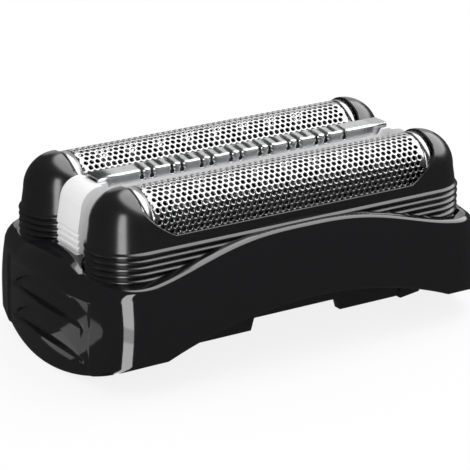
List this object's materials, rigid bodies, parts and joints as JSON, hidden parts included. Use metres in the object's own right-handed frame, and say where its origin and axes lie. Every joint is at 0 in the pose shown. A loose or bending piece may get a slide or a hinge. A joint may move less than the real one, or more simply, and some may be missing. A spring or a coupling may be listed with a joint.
{
  "type": "shaver foil head",
  "caption": "Foil head for an electric shaver: twin perforated steel foils in floating ribbed frames, a long-hair trimmer between them, cutters and a drive bridge in a waved black frame.",
  "frame": {"origin": "under the middle of the part, in the plane that its two end skirts rest on", "axes": "+X along the foils, -Y is the front, +Z towards the skin"},
  "size_m": [0.056, 0.0328, 0.0227],
  "materials": {
    "black_gloss": "polished black moulding",
    "black_satin": "satin black moulding",
    "grey_plastic": "plain moulded grey",
    "white_plastic": "smooth pale moulding",
    "foil_steel": "thin bright perforated sheet",
    "comb_steel": "folded and ground sheet",
    "blade_steel": "ground edges",
    "spring_steel": "thin strip"
  },
  "bodies": {
    "frame": {"outer_frame": "black_gloss", "base_plate": "black_satin", "front_foil_springs": "spring_steel", "rear_foil_springs": "spring_steel", "trimmer_springs": "spring_steel"},
    "front_foil_unit": {"front_foil_frame": "black_satin", "front_foil": "foil_steel"},
    "rear_foil_unit": {"rear_foil_frame": "black_satin", "rear_foil": "foil_steel"},
    "trimmer_unit": {"trimmer_housing": "white_plastic", "trimmer_comb": "comb_steel"},
    "drive": {"drive_bridge": "grey_plastic", "front_cutter_spring": "spring_steel", "rear_cutter_spring": "spring_steel"},
    "front_cutter": {"front_cutter_carrier": "grey_plastic", "front_cutter_blades": "blade_steel"},
    "rear_cutter": {"rear_cutter_carrier": "grey_plastic", "rear_cutter_blades": "blade_steel"},
    "trimmer_slide": {"trimmer_blade": "blade_steel", "trimmer_driver": "grey_plastic"}
  },
  "joints": [
    {"name": "front_foil_float", "type": "slide", "parent": "frame", "child": "front_foil_unit", "axis": [0, 0, 1], "range_m": [-0.002, 0], "stiffness_N_per_m": 100, "springref_m": 0.003, "deforming": ["front_foil_springs"]},
    {"name": "rear_foil_float", "type": "slide", "parent": "frame", "child": "rear_foil_unit", "axis": [0, 0, 1], "range_m": [-0.002, 0], "stiffness_N_per_m": 100, "springref_m": 0.003, "deforming": ["rear_foil_springs"]},
    {"name": "trimmer_float", "type": "slide", "parent": "frame", "child": "trimmer_unit", "axis": [0, 0, 1], "range_m": [-0.0015, 0], "stiffness_N_per_m": 100, "springref_m": 0.003, "deforming": ["trimmer_springs"]},
    {"name": "drive_stroke", "type": "slide", "parent": "frame", "child": "drive", "axis": [1, 0, 0], "range_m": [-0.0012, 0.0012]},
    {"name": "front_cutter_float", "type": "slide", "parent": "drive", "child": "front_cutter", "axis": [0, 0, 1], "range_m": [-0.002, 0], "deforming": ["front_cutter_spring"]},
    {"name": "rear_cutter_float", "type": "slide", "parent": "drive", "child": "rear_cutter", "axis": [0, 0, 1], "range_m": [-0.002, 0], "deforming": ["rear_cutter_spring"]},
    {"name": "trimmer_stroke", "type": "slide", "parent": "trimmer_unit", "child": "trimmer_slide", "axis": [1, 0, 0], "range_m": [-0.0012, 0.0012]}
  ],
  "couplings": [
    {"joint": "front_cutter_float", "follows": "front_foil_float", "ratio": 1},
    {"joint": "rear_cutter_float", "follows": "rear_foil_float", "ratio": 1},
    {"joint": "trimmer_stroke", "follows": "drive_stroke", "ratio": 1}
  ]
}
